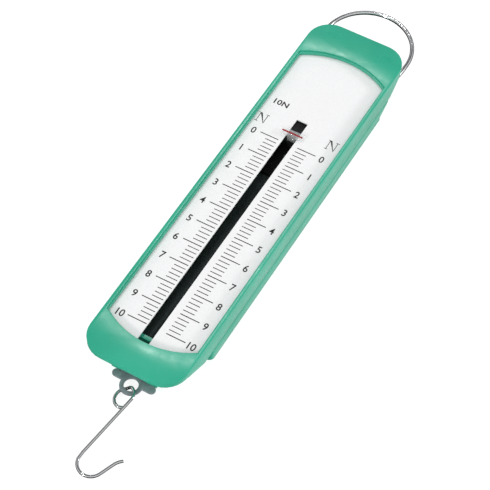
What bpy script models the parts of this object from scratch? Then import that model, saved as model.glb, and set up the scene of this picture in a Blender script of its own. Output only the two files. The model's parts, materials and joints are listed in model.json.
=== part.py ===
"""Flat box spring balance for 0 to 10 newtons, lying on its back: case, scale, draw gear, hook and ring.

Units are metres. X runs across the face, Y up the case towards the ring, Z out of the face.
Lengths along the case are stated from the scale's zero mark, and y_at() moves them into the frame,
whose origin is under the middle of the whole object, on the surface that it lies on.
"""

import math

import bmesh
import bpy
from mathutils import Matrix, Vector

FIT_GAP = 0.0003  # between pieces that touch

# Case: a front shell with a window, and a rear cover that closes its middle stretch.
CASE_WIDTH = 0.0380
CASE_ABOVE_ZERO = 0.0572
CASE_BELOW_ZERO = 0.1092
CASE_DEPTH = 0.0130
CASE_CORNER = 0.0090
WALL = 0.0013
FACE_THICKNESS = 0.0019
RIM_THICKNESS = 0.0022
COVER_DEPTH = 0.0049
COVER_FLOOR = 0.0015
COVER_CORNER = 0.0020
COVER_LIP = 0.0015
LOWER_SLOPE_FROM_END = (0.0187, 0.0077)  # where the underside starts to rise, and where it meets the rim
UPPER_SLOPE_FROM_END = (0.0151, 0.0065)
COVER_STEP = 0.0042  # from the lower slope's foot back to the cover's end wall
COVER_UPPER_SLOPE = 0.0077

# Window and scale plate.
WINDOW_RAIL = 0.0017
WINDOW_TOP_FLANGE = 0.0185
WINDOW_BOTTOM_FLANGE = 0.0172
WINDOW_BULGE = 0.0053
WINDOW_STEP = 0.00045
WINDOW_STEP_DEPTH = 0.0007
PLATE_THICKNESS = 0.0005
PLATE_LAP = 0.0010
SLOT_WIDTH = 0.0045
SLOT_CENTRE = -0.0010  # the slot and the pointer in it stand left of the case's middle
SLOT_ABOVE_ZERO = 0.0115
BEAD_LENGTH = 0.0060
BEAD_HEIGHT = 0.0005
BEADS_PER_SIDE = 4

# Scale and travel.
NEWTON = 0.0090
FULL_SCALE = 10
REST_ABOVE_ZERO = 0.0040  # the unloaded index line stands this far over the zero mark
BRIDGE_FROM_NOSE_END = 0.0117  # the bridge stops the draw gear, so this and the case's length set the travel

# Draw gear: lug plate lowest, then the draw bar, then the foot of the pointer carrier.
LUG_BOTTOM = 0.0020
STRIP_THICKNESS = 0.0008
BAR_WIDTH = 0.0112
LUG_WIDTH = 0.0166
LUG_OFFSET = 0.0015  # the lobe and shoulders stand this far right of the tongue
LUG_STAND_OFF = 0.0008
LUG_SHOULDER = 0.0030
LUG_LOBE_RADIUS = 0.0040
LUG_HOLE_RADIUS = 0.0025
LUG_HOLE_BELOW_EDGE = 0.0032
TONGUE_WIDTH = 0.0088
TONGUE_LENGTH = 0.0085
CARRIER_FOOT_LENGTH = 0.0133
CARRIER_BLOCK = 0.0043
RIVET_SHANK = 0.00075
RIVET_HEAD = 0.00135
RIVET_HEAD_HEIGHT = 0.0004

# Guide nose under the lower flange.
NOSE_WIDTH = 0.0176
NOSE_WALL = 0.0014
NOSE_FROM_END = 0.0046
NOSE_BOTTOM = 0.0006
BRIDGE_THICKNESS = 0.0015
BRIDGE_UNDER_PLATE = 0.0014
ROOF_THICKNESS = 0.0007
GUIDE_CLEARANCE = 0.0004

# Pointer.
POINTER_WIDTH = 0.0088
POINTER_HEIGHT = 0.0026
POINTER_THICKNESS = 0.0011
POINTER_LIFT = 0.0004
NECK_WIDTH = 0.0032
NECK_HEIGHT = 0.0022
ZERO_ADJUST = (-0.0005, 0.0015)
LINE_WIDTH = 0.00055
LINE_GROOVE = 0.0008
LINE_GROOVE_DEPTH = 0.0004

# Spring.
SPRING_DIAMETER = 0.0056
SPRING_WIRE = 0.00055
SPRING_COILS = 43
SPRING_Z = 0.0069
ANCHOR_RIB_THICKNESS = 0.0014
HOOK_LOOP_RADIUS = 0.0016

# Hanging ring.
RING_WIRE = 0.0016
RING_RADIUS = 0.01725
RING_NECK_HALF = 0.0148
RING_LEG = 0.0205
RING_PIVOT_ABOVE_ZERO = 0.0385
RING_FOOT = 0.0028
RING_RISE = math.radians(1.1)  # the stiff pivot holds it just above level
RING_SPLAY = 0.0019  # room beside each leg, which leans outwards
LEG_NOTCH_TOP = 0.0084
PIVOT_BLOCK_WIDTH = 0.0026
PIVOT_BLOCK_LENGTH = 0.0038

# Hook.
HOOK_WIRE = 0.0011
EYE_HALF_WIDTH = 0.0031
EYE_HALF_HEIGHT = 0.0037
EYE_OFFSET = (0.0003, -0.0048)
EYE_DIVE = (68, 122)  # degrees round the eye where the wire goes down through the lug's hole
SHANK_TILT = math.radians(9.5)
SHANK_LENGTH = 0.0243
BEND_RADIUS = 0.0048
POINT_FLARE = math.radians(24)
POINT_LENGTH = 0.0051
TIP_RADIUS = 0.0062
TIP_TURN = math.radians(32)

# Cover screws.
SCREW_COLUMN = 0.0054
SCREW_INSET = 0.0041
SCREW_FROM_COVER_END = 0.0052
SCREW_HEAD_RADIUS = 0.0021
SCREW_HEAD_HEIGHT = 0.0011
SCREW_SHANK_RADIUS = 0.00085
SCREW_SUNK = 0.0004

ROUND_STEPS = 28
CORNER_STEPS = 8

# Places that follow from the sizes above, still measured from the zero mark.
HALF_WIDTH = CASE_WIDTH / 2
INNER_HALF = HALF_WIDTH - WALL
SEAM_Z = COVER_DEPTH + FIT_GAP
PIVOT_Z = COVER_DEPTH + FIT_GAP / 2
RIM_Z = CASE_DEPTH - RIM_THICKNESS
FACE_UNDER = CASE_DEPTH - FACE_THICKNESS
PLATE_TOP = FACE_UNDER - FIT_GAP
PLATE_UNDER = PLATE_TOP - PLATE_THICKNESS
LOWER_FOOT, LOWER_RISE_END = (inset - CASE_BELOW_ZERO for inset in LOWER_SLOPE_FROM_END)
UPPER_FOOT, UPPER_RISE_END = (CASE_ABOVE_ZERO - inset for inset in UPPER_SLOPE_FROM_END)
COVER_BOTTOM_END = LOWER_FOOT + COVER_STEP
WINDOW_HALF = HALF_WIDTH - WINDOW_RAIL
WINDOW_TOP = CASE_ABOVE_ZERO - WINDOW_TOP_FLANGE
WINDOW_BOTTOM = WINDOW_BOTTOM_FLANGE - CASE_BELOW_ZERO
PLATE_TOP_END = WINDOW_TOP + WINDOW_BULGE + 3 * PLATE_LAP
PLATE_BOTTOM_END = WINDOW_BOTTOM - WINDOW_BULGE - PLATE_LAP
NOSE_END = NOSE_FROM_END - CASE_BELOW_ZERO
LUG_EDGE = NOSE_END - LUG_STAND_OFF
LUG_HOLE = LUG_EDGE - LUG_HOLE_BELOW_EDGE
LUG_TOP = LUG_BOTTOM + STRIP_THICKNESS
BAR_BOTTOM = LUG_TOP + FIT_GAP
BAR_TOP = BAR_BOTTOM + STRIP_THICKNESS
FOOT_BOTTOM = BAR_TOP + FIT_GAP
FOOT_TOP = FOOT_BOTTOM + STRIP_THICKNESS
RIVET_TOP = FOOT_TOP + FIT_GAP + RIVET_HEAD_HEIGHT
CARRIER_LOW = REST_ABOVE_ZERO - POINTER_HEIGHT / 2 - 2 * GUIDE_CLEARANCE
CARRIER_HIGH = CARRIER_LOW + CARRIER_BLOCK
CARRIER_TOP = PLATE_UNDER - GUIDE_CLEARANCE
BRIDGE_FACE = NOSE_END + BRIDGE_FROM_NOSE_END
TRAVEL = CARRIER_LOW - BRIDGE_FACE - FIT_GAP
GUIDE_TOP = RIVET_TOP + GUIDE_CLEARANCE
ANCHOR_RIB = RING_PIVOT_ABOVE_ZERO + PIVOT_BLOCK_LENGTH / 2 - ANCHOR_RIB_THICKNESS
SPRING_HIGH = ANCHOR_RIB - 2 * HOOK_LOOP_RADIUS
SPRING_LOW = SPRING_HIGH - SPRING_COILS * SPRING_WIRE
SCREW_X = HALF_WIDTH - SCREW_INSET
SCREW_YS = (COVER_BOTTOM_END + SCREW_FROM_COVER_END, UPPER_FOOT - COVER_UPPER_SLOPE - SCREW_FROM_COVER_END)
SCREW_TOP = SEAM_Z + 0.0034
RING_TOP = RING_PIVOT_ABOVE_ZERO + (RING_LEG + RING_RADIUS) * math.cos(RING_RISE)
EYE = (LUG_OFFSET + EYE_OFFSET[0], LUG_HOLE + EYE_OFFSET[1])
SHANK_TOP = (
    EYE[0] + EYE_HALF_WIDTH * math.cos(SHANK_TILT),
    EYE[1] - EYE_HALF_HEIGHT * math.sin(SHANK_TILT),
)
BEND_START = (
    SHANK_TOP[0] - SHANK_LENGTH * math.sin(SHANK_TILT),
    SHANK_TOP[1] - SHANK_LENGTH * math.cos(SHANK_TILT),
)
BEND_CENTRE = (
    BEND_START[0] + BEND_RADIUS * math.cos(SHANK_TILT),
    BEND_START[1] - BEND_RADIUS * math.sin(SHANK_TILT),
)
HOOK_BOTTOM = BEND_CENTRE[1] - BEND_RADIUS
ZERO_MARK_Y = -(RING_TOP + RING_WIRE / 2 + HOOK_BOTTOM - HOOK_WIRE / 2) / 2


def y_at(from_zero):
    """The frame's Y of a place that is measured from the zero mark."""
    return ZERO_MARK_Y + from_zero


def material(name, colour, roughness, metallic=0.0, transmission=0.0):
    made = bpy.data.materials.new(name)
    made.use_nodes = True
    shader = made.node_tree.nodes["Principled BSDF"]
    shader.inputs["Base Color"].default_value = (*colour, 1.0)
    shader.inputs["Roughness"].default_value = roughness
    shader.inputs["Metallic"].default_value = metallic
    shader.inputs["Transmission Weight"].default_value = transmission
    return made


def mesh_object(name, shape, finish=None):
    """A scene object that holds a bmesh, whose faces are turned outwards."""
    bmesh.ops.recalc_face_normals(shape, faces=shape.faces)
    mesh = bpy.data.meshes.new(name)
    shape.to_mesh(mesh)
    shape.free()
    made = bpy.data.objects.new(name, mesh)
    bpy.context.scene.collection.objects.link(made)
    if finish:
        mesh.materials.append(finish)
    return made


def extruded(points, offset):
    """A bmesh of a flat outline of 3-D points pushed along an offset."""
    shape = bmesh.new()
    face = shape.faces.new([shape.verts.new(p) for p in points])
    pushed = bmesh.ops.extrude_face_region(shape, geom=[face])["geom"]
    moved = [v for v in pushed if isinstance(v, bmesh.types.BMVert)]
    bmesh.ops.translate(shape, vec=offset, verts=moved)
    return shape


def plan_prism(name, outline, low, high, finish=None):
    """A prism that stands on an outline of (x, from zero) points."""
    points = [(x, y_at(y), low) for x, y in outline]
    return mesh_object(name, extruded(points, (0, 0, high - low)), finish)


def side_prism(name, profile, left, right, finish=None):
    """A prism across the case over a profile of (from zero, z) points."""
    points = [(left, y_at(y), z) for y, z in profile]
    return mesh_object(name, extruded(points, (right - left, 0, 0)), finish)


def box(name, xs, ys, zs, finish=None):
    corners = [(xs[0], ys[0]), (xs[1], ys[0]), (xs[1], ys[1]), (xs[0], ys[1])]
    return plan_prism(name, corners, zs[0], zs[1], finish)


def rod(name, start, end, radius, finish=None, steps=ROUND_STEPS):
    """A round bar between two points, whose Y is measured from the zero mark."""
    low, high = (Vector((p[0], y_at(p[1]), p[2])) for p in (start, end))
    along = high - low
    turn = along.to_track_quat("Z", "Y").to_matrix().to_4x4()
    shape = bmesh.new()
    bmesh.ops.create_cone(
        shape, cap_ends=True, segments=steps, radius1=radius, radius2=radius,
        depth=along.length, matrix=Matrix.Translation((low + high) / 2) @ turn,
    )
    return mesh_object(name, shape, finish)


def combine(target, helper, operation):
    """Adds a live exact Boolean, and hides the helper from renders."""
    helper.hide_render = True
    helper.display_type = "WIRE"
    step = target.modifiers.new(f"{operation.lower()}_{helper.name}", "BOOLEAN")
    step.operation = operation
    step.solver = "EXACT"
    step.object = helper


def cut(target, helper):
    combine(target, helper, "DIFFERENCE")


def join(target, helper):
    combine(target, helper, "UNION")


def arc(centre, radius, start, end, steps):
    """Points on an arc, angles in radians, both ends included."""
    turns = [start + (end - start) * i / steps for i in range(steps + 1)]
    return [(centre[0] + radius * math.cos(a), centre[1] + radius * math.sin(a)) for a in turns]


def rounded_rectangle(half, low, high, radius):
    centres = ((half - radius, low + radius), (half - radius, high - radius),
               (radius - half, high - radius), (radius - half, low + radius))
    points = []
    for quarter, centre in enumerate(centres):
        start = math.radians(90 * quarter - 90)
        points += arc(centre, radius, start, start + math.pi / 2, CORNER_STEPS)
    return points


def window_outline(half, low, high, bulge, steps=20):
    """A rectangle whose two short ends are shallow arches that swell outwards."""
    radius = (half**2 + bulge**2) / (2 * bulge)
    spread = math.asin(half / radius)
    top = arc((0, high + bulge - radius), radius, math.pi / 2 - spread, math.pi / 2 + spread, steps)
    bottom = arc((0, low - bulge + radius), radius, -math.pi / 2 - spread, spread - math.pi / 2, steps)
    return bottom + top


def inner_line(foot, end, z, foot_z=SEAM_Z, end_z=RIM_Z, wall=WALL):
    """Where the inside of a sloping wall stands at height z. The outside runs from foot to end."""
    run, rise = end - foot, end_z - foot_z
    length = math.hypot(run, rise)
    toward = -1 if run > 0 else 1
    start = foot + toward * rise / length * wall
    return start + (z - foot_z - abs(run) / length * wall) * run / rise


def smooth(t):
    t = min(max(t, 0.0), 1.0)
    return t * t * (3 - 2 * t)


def wire(name, points, diameter, finish):
    """A round wire through points whose Y is measured from the zero mark."""
    curve = bpy.data.curves.new(name, "CURVE")
    curve.dimensions = "3D"
    curve.bevel_depth = diameter / 2
    curve.bevel_resolution = 2
    curve.use_fill_caps = True
    spline = curve.splines.new("POLY")
    spline.points.add(len(points) - 1)
    for target, (x, y, z) in zip(spline.points, points):
        target.co = (x, y_at(y), z, 1)
        target.radius = 1
    spline.use_smooth = True
    curve.materials.append(finish)
    made = bpy.data.objects.new(name, curve)
    bpy.context.scene.collection.objects.link(made)
    return made


def set_origin(made, place):
    """Moves an object's origin to a place in the frame and leaves its shape where it is."""
    place = Vector(place)
    data = made.data
    data.transform(Matrix.Translation(-place))
    made.location = place


def slope_wedge(name, foot, end, outer_end):
    """What is cut away under one end of the front shell."""
    below = -0.002
    profile = [(foot, below), (foot, SEAM_Z), (end, RIM_Z), (outer_end, RIM_Z), (outer_end, below)]
    return side_prism(name, profile, -CASE_WIDTH, CASE_WIDTH)


def leg_notch(name, side):
    """The open slot in both shells that one leg of the ring passes and swings through."""
    half = RING_WIRE / 2 + 0.8 * FIT_GAP
    xs = sorted((side * (RING_NECK_HALF - half), side * (RING_NECK_HALF + half + RING_SPLAY)))
    low = RING_PIVOT_ABOVE_ZERO - RING_WIRE
    return box(name, xs, (low, UPPER_RISE_END - 0.001), (-0.001, LEG_NOTCH_TOP))


def pivot_blocks(target, low, high):
    """Two blocks that hold the feet of the ring in half-round grooves."""
    inner = RING_NECK_HALF - RING_WIRE / 2 - FIT_GAP - PIVOT_BLOCK_WIDTH
    half = PIVOT_BLOCK_LENGTH / 2
    ys = (RING_PIVOT_ABOVE_ZERO - half, RING_PIVOT_ABOVE_ZERO + half)
    for side in (-1, 1):
        xs = sorted((side * inner, side * (inner + PIVOT_BLOCK_WIDTH)))
        join(target, box(f"{target.name}_pivot_block", xs, ys, (low, high)))


def pivot_grooves(target):
    inner = RING_NECK_HALF - RING_WIRE / 2 - FIT_GAP - PIVOT_BLOCK_WIDTH
    for side in (-1, 1):
        start = (side * (inner - 0.001), RING_PIVOT_ABOVE_ZERO, PIVOT_Z)
        end = (side * (RING_NECK_HALF + RING_WIRE / 2), RING_PIVOT_ABOVE_ZERO, PIVOT_Z)
        cut(target, rod(f"{target.name}_groove", start, end, RING_WIRE / 2 + FIT_GAP / 3))


def front_case(finish):
    """The front shell: face with a window, side walls, two sloping ends and the guide nose."""
    outline = rounded_rectangle(HALF_WIDTH, -CASE_BELOW_ZERO, CASE_ABOVE_ZERO, CASE_CORNER)
    case = plan_prism("front_case", outline, SEAM_Z, CASE_DEPTH, finish)
    beyond = 0.004
    cut(case, slope_wedge("lower_wedge", LOWER_FOOT, LOWER_RISE_END, -CASE_BELOW_ZERO - beyond))
    cut(case, slope_wedge("upper_wedge", UPPER_FOOT, UPPER_RISE_END, CASE_ABOVE_ZERO + beyond))
    under = SEAM_Z - 0.001
    cavity = [
        (inner_line(LOWER_FOOT, LOWER_RISE_END, under), under),
        (inner_line(UPPER_FOOT, UPPER_RISE_END, under), under),
        (inner_line(UPPER_FOOT, UPPER_RISE_END, FACE_UNDER), FACE_UNDER),
        (inner_line(LOWER_FOOT, LOWER_RISE_END, FACE_UNDER), FACE_UNDER),
    ]
    cut(case, side_prism("case_cavity", cavity, -INNER_HALF, INNER_HALF))
    pocket = (PLATE_BOTTOM_END - FIT_GAP, PLATE_TOP_END + FIT_GAP)
    across = (-INNER_HALF, INNER_HALF)
    cut(case, box("plate_pocket", across, pocket, (PLATE_UNDER - FIT_GAP, FACE_UNDER)))
    add_nose(case)
    join(case, anchor_rib())
    pivot_blocks(case, SEAM_Z, PLATE_UNDER - GUIDE_CLEARANCE)
    for side in (-1, 1):
        for y in SCREW_YS:
            add_screw_column(case, side, y)
        for i in range(BEADS_PER_SIDE):
            add_bead(case, side, i)
    window = window_outline(WINDOW_HALF, WINDOW_BOTTOM, WINDOW_TOP, WINDOW_BULGE)
    cut(case, plan_prism("window_cutter", window, FACE_UNDER - 0.0002, CASE_DEPTH + 0.001))
    wider = window_outline(WINDOW_HALF + WINDOW_STEP, WINDOW_BOTTOM - WINDOW_STEP, WINDOW_TOP + WINDOW_STEP,
                           WINDOW_BULGE)
    cut(case, plan_prism("window_step", wider, CASE_DEPTH - WINDOW_STEP_DEPTH, CASE_DEPTH + 0.001))
    pivot_grooves(case)
    for side in (-1, 1):
        cut(case, leg_notch("case_leg_notch", side))
    return case


def add_nose(case):
    """The guide nose under the lower flange, hollow, with a bridge that the carrier stops against."""
    half = NOSE_WIDTH / 2
    high_end = COVER_BOTTOM_END - FIT_GAP
    top = PLATE_UNDER - FIT_GAP
    root_end = PLATE_BOTTOM_END - 2 * FIT_GAP
    join(case, box("nose", (-half, half), (NOSE_END, high_end), (NOSE_BOTTOM, top)))
    join(case, box("nose_root", (-half, half), (NOSE_END, root_end), (NOSE_BOTTOM, FACE_UNDER + 0.0004)))
    hollow_half = half - NOSE_WALL
    inside = (NOSE_END + NOSE_WALL, high_end + 0.003)
    cut(case, box("nose_hollow", (-hollow_half, hollow_half), inside, (NOSE_BOTTOM + 0.001, top)))
    bridge = (BRIDGE_FACE - BRIDGE_THICKNESS, BRIDGE_FACE)
    reach = hollow_half + NOSE_WALL / 2
    join(case, box("bridge", (-reach, reach), bridge, (GUIDE_TOP, PLATE_UNDER - BRIDGE_UNDER_PLATE)))
    mouth_half = BAR_WIDTH / 2 + GUIDE_CLEARANCE
    mouth = (NOSE_END - 0.001, NOSE_END + NOSE_WALL + 0.001)
    cut(case, box("nose_mouth", (-mouth_half, mouth_half), mouth, (NOSE_BOTTOM + 0.001, GUIDE_TOP)))


def anchor_rib():
    """The cross rib that the spring hangs on, with the hole for its end loop."""
    reach = INNER_HALF + WALL / 2
    rib = box(
        "anchor_rib", (-reach, reach), (ANCHOR_RIB, ANCHOR_RIB + ANCHOR_RIB_THICKNESS),
        (SEAM_Z, PLATE_UNDER - GUIDE_CLEARANCE),
    )
    z = SPRING_Z + HOOK_LOOP_RADIUS / 2
    start = (0, ANCHOR_RIB - 0.001, z)
    end = (0, ANCHOR_RIB + ANCHOR_RIB_THICKNESS + 0.001, z)
    cut(rib, rod("anchor_hole", start, end, SPRING_WIRE + FIT_GAP))
    return rib


def add_screw_column(case, side, y):
    half = SCREW_COLUMN / 2
    xs = sorted((side * (SCREW_X - half), side * (INNER_HALF + WALL / 2)))
    top = SCREW_TOP + FIT_GAP + 0.0006
    join(case, box("screw_column", xs, (y - half, y + half), (SEAM_Z, top)))
    start, end = (side * SCREW_X, y, SEAM_Z - 0.001), (side * SCREW_X, y, SCREW_TOP + FIT_GAP)
    cut(case, rod("screw_pilot", start, end, SCREW_SHANK_RADIUS + FIT_GAP))


def add_bead(case, side, i):
    """One of the snap beads that hold the scale plate up from behind."""
    low, high = WINDOW_BOTTOM + BEAD_LENGTH, WINDOW_TOP - 2 * BEAD_LENGTH
    y = low + (high - low) * i / (BEADS_PER_SIDE - 1)
    xs = sorted((side * (INNER_HALF - BEAD_HEIGHT), side * (INNER_HALF + WALL / 2)))
    top = PLATE_UNDER - FIT_GAP
    join(case, box("bead", xs, (y, y + BEAD_LENGTH), (top - BEAD_HEIGHT, top)))


def rear_cover(finish):
    """The tray that closes the case's back: flat floor, walls, a sloping upper end."""
    outline = rounded_rectangle(HALF_WIDTH, COVER_BOTTOM_END, UPPER_FOOT, COVER_CORNER)
    cover = plan_prism("rear_cover", outline, 0, COVER_DEPTH, finish)
    foot = UPPER_FOOT - COVER_UPPER_SLOPE
    top_line = COVER_DEPTH + 0.001

    def inner(z):
        return inner_line(foot, UPPER_FOOT, z, COVER_LIP, COVER_DEPTH)

    cavity = [
        (COVER_BOTTOM_END + COVER_FLOOR, COVER_FLOOR), (inner(COVER_FLOOR), COVER_FLOOR),
        (inner(top_line), top_line), (COVER_BOTTOM_END + COVER_FLOOR, top_line),
    ]
    cut(cover, side_prism("cover_cavity", cavity, -INNER_HALF, INNER_HALF))
    pivot_blocks(cover, COVER_LIP, COVER_DEPTH)
    for side in (-1, 1):
        for y in SCREW_YS:
            half = SCREW_COLUMN / 2
            xs = sorted((side * (SCREW_X - half), side * (INNER_HALF + WALL / 2)))
            join(cover, box("cover_column", xs, (y - half, y + half), (COVER_FLOOR / 2, COVER_DEPTH)))
    wedge = [
        (foot, -0.001), (foot, COVER_LIP), (UPPER_FOOT + 0.001, COVER_DEPTH + 0.001 * 0.44),
        (UPPER_FOOT + 0.001, -0.001),
    ]
    cut(cover, side_prism("cover_wedge", wedge, -CASE_WIDTH, CASE_WIDTH))
    notch_half = BAR_WIDTH / 2 + 2 * GUIDE_CLEARANCE
    notch = (COVER_BOTTOM_END - 0.001, COVER_BOTTOM_END + COVER_FLOOR + 0.001)
    cut(cover, box("draw_notch", (-notch_half, notch_half), notch, (COVER_FLOOR, COVER_DEPTH + 0.001)))
    for side in (-1, 1):
        cut(cover, leg_notch("cover_leg_notch", side))
    pivot_grooves(cover)
    seat = SCREW_SUNK + SCREW_HEAD_HEIGHT + FIT_GAP
    for side in (-1, 1):
        for y in SCREW_YS:
            x = side * SCREW_X
            cut(cover, rod("screw_hole", (x, y, -0.001), (x, y, COVER_DEPTH + 0.001),
                           SCREW_SHANK_RADIUS + FIT_GAP))
            cut(cover, rod("head_seat", (x, y, -0.001), (x, y, seat), SCREW_HEAD_RADIUS + FIT_GAP))
    return cover


def cover_screws(finish):
    number = 1
    for side in (-1, 1):
        for y in SCREW_YS:
            x = side * SCREW_X
            screw = rod(f"cover_screw_{number}", (x, y, SCREW_SUNK),
                        (x, y, SCREW_SUNK + SCREW_HEAD_HEIGHT), SCREW_HEAD_RADIUS, finish)
            middle = SCREW_SUNK + SCREW_HEAD_HEIGHT / 2
            join(screw, rod("screw_shank", (x, y, middle), (x, y, SCREW_TOP), SCREW_SHANK_RADIUS))
            number += 1


def across_slot(width):
    """The X span of something of this width that is centred on the slot."""
    return (SLOT_CENTRE - width / 2, SLOT_CENTRE + width / 2)


def scale_plate(finish):
    """The flat plate under the window, with the long slot that the pointer runs in."""
    half = INNER_HALF - FIT_GAP
    plate = box("scale_plate", (-half, half), (PLATE_BOTTOM_END, PLATE_TOP_END),
                (PLATE_UNDER, PLATE_TOP), finish)
    low = WINDOW_BOTTOM - WINDOW_BULGE - PLATE_LAP / 4
    cut(plate, box("slot_cutter", across_slot(SLOT_WIDTH), (low, SLOT_ABOVE_ZERO),
                   (PLATE_UNDER - 0.001, PLATE_TOP + 0.001)))
    return plate


def rivet(name, place, low, high, finish):
    """A rivet with a head on top, seen from the face."""
    x, y = place
    made = rod(name, (x, y, low), (x, y, high + FIT_GAP / 2), RIVET_SHANK, finish, 16)
    head = rod(f"{name}_head", (x, y, high + FIT_GAP / 3), (x, y, high + FIT_GAP / 3 + RIVET_HEAD_HEIGHT),
               RIVET_HEAD, None, 16)
    join(made, head)


def draw_gear(steel, black, zinc):
    """The bar, the lug plate under its lower end, and the carrier on its upper end."""
    bar_low = LUG_EDGE + 2 * GUIDE_CLEARANCE
    half = BAR_WIDTH / 2
    bar = box("draw_bar", (-half, half), (bar_low, CARRIER_HIGH), (BAR_BOTTOM, BAR_TOP), steel)
    lug = lug_plate(zinc)
    carrier = pointer_carrier(black)
    tongue_high = LUG_EDGE + TONGUE_LENGTH
    lug_rivets = [(side * TONGUE_WIDTH / 4, (tongue_high + bar_low) / 2) for side in (-1, 1)]
    foot_low = CARRIER_LOW - CARRIER_FOOT_LENGTH
    foot_rivets = [(0, foot_low + CARRIER_FOOT_LENGTH * share) for share in (0.2, 0.75)]
    hole = RIVET_SHANK + FIT_GAP / 2
    for number, place in enumerate(lug_rivets, 1):
        rivet(f"lug_rivet_{number}", place, LUG_BOTTOM, BAR_TOP, steel)
        for piece in (bar, lug):
            cut(piece, rod("lug_rivet_hole", (*place, LUG_BOTTOM - 0.001), (*place, BAR_TOP + 0.001), hole,
                           None, 16))
    for number, place in enumerate(foot_rivets, 1):
        rivet(f"carrier_rivet_{number}", place, BAR_BOTTOM, FOOT_TOP, steel)
        for piece in (bar, carrier):
            cut(piece, rod("foot_rivet_hole", (*place, BAR_BOTTOM - 0.0002), (*place, FOOT_TOP + 0.0002),
                           hole, None, 16))


def lug_plate(finish):
    """The steel plate outside the case: two round shoulders, a round lobe with the hook's hole."""
    end_radius = LUG_SHOULDER / 2
    reach = LUG_WIDTH / 2 - end_radius
    middle = LUG_EDGE - end_radius
    x = LUG_OFFSET
    outline = arc((x + reach, middle), end_radius, -math.pi / 2, math.pi / 2, 10)
    outline += arc((x - reach, middle), end_radius, math.pi / 2, 3 * math.pi / 2, 10)
    lug = plan_prism("lug_plate", outline, LUG_BOTTOM, LUG_TOP, finish)
    join(lug, rod("lug_lobe", (x, LUG_HOLE, LUG_BOTTOM), (x, LUG_HOLE, LUG_TOP), LUG_LOBE_RADIUS, None, 32))
    half = TONGUE_WIDTH / 2
    join(lug, box("lug_tongue", (-half, half), (LUG_EDGE - end_radius, LUG_EDGE + TONGUE_LENGTH),
                  (LUG_BOTTOM, LUG_TOP)))
    cut(lug, rod("lug_hole", (x, LUG_HOLE, LUG_BOTTOM - 0.001), (x, LUG_HOLE, LUG_TOP + 0.001),
                 LUG_HOLE_RADIUS, None, 24))
    return lug


def pointer_carrier(finish):
    """The black moulding on the bar: a thin foot, a block under the slot, a lug for the spring."""
    half = BAR_WIDTH / 2 - GUIDE_CLEARANCE
    foot = (CARRIER_LOW - CARRIER_FOOT_LENGTH, CARRIER_HIGH)
    carrier = box("pointer_carrier", (-half, half), foot, (FOOT_BOTTOM, FOOT_TOP), finish)
    block = across_slot(2 * NECK_WIDTH)
    join(carrier, box("carrier_block", block, (CARRIER_LOW, CARRIER_HIGH),
                      (FOOT_BOTTOM + STRIP_THICKNESS / 2, CARRIER_TOP)))
    loop_tip = SPRING_LOW - FIT_GAP - 2 * HOOK_LOOP_RADIUS
    eye_half = 0.0005
    eye_high = loop_tip + 0.0009
    join(carrier, box("carrier_eye", (-eye_half, eye_half), (CARRIER_HIGH - 0.001, eye_high),
                      (SPRING_Z - 0.0014, SPRING_Z + 0.0014)))
    roof_end = SPRING_LOW - FIT_GAP
    join(carrier, box("carrier_roof", block, (CARRIER_HIGH - 0.001, roof_end),
                      (CARRIER_TOP - ROOF_THICKNESS, CARRIER_TOP)))
    cut(carrier, rod("eye_hole", (-0.001, loop_tip, SPRING_Z), (0.001, loop_tip, SPRING_Z),
                     SPRING_WIRE / 2 + FIT_GAP, None, 16))
    centre = REST_ABOVE_ZERO
    groove = (centre - NECK_HEIGHT / 2 + ZERO_ADJUST[0] - FIT_GAP,
              centre + NECK_HEIGHT / 2 + ZERO_ADJUST[1] + FIT_GAP)
    cut(carrier, box("neck_groove", across_slot(NECK_WIDTH + 2 * FIT_GAP), groove,
                     (CARRIER_TOP - 0.0016, CARRIER_TOP + 0.001)))
    return carrier


def pointer(clear, red):
    """The clear index plate over the slot, on a neck that grips the carrier, and its red line."""
    low = PLATE_TOP + POINTER_LIFT
    high = low + POINTER_THICKNESS
    centre = REST_ABOVE_ZERO
    plate = box("pointer", across_slot(POINTER_WIDTH),
                (centre - POINTER_HEIGHT / 2, centre + POINTER_HEIGHT / 2), (low, high), clear)
    join(plate, box("pointer_neck", across_slot(NECK_WIDTH),
                    (centre - NECK_HEIGHT / 2, centre + NECK_HEIGHT / 2),
                    (CARRIER_TOP - 0.0012, low + POINTER_THICKNESS / 2)))
    cut(plate, box("line_groove", across_slot(2 * POINTER_WIDTH),
                   (centre - LINE_GROOVE / 2, centre + LINE_GROOVE / 2), (high - LINE_GROOVE_DEPTH, high + 0.001)))
    box("index_line", across_slot(POINTER_WIDTH - 2 * FIT_GAP),
        (centre - LINE_WIDTH / 2, centre + LINE_WIDTH / 2),
        (high - 0.75 * LINE_GROOVE_DEPTH, high - 0.25 * LINE_GROOVE_DEPTH), red)


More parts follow.
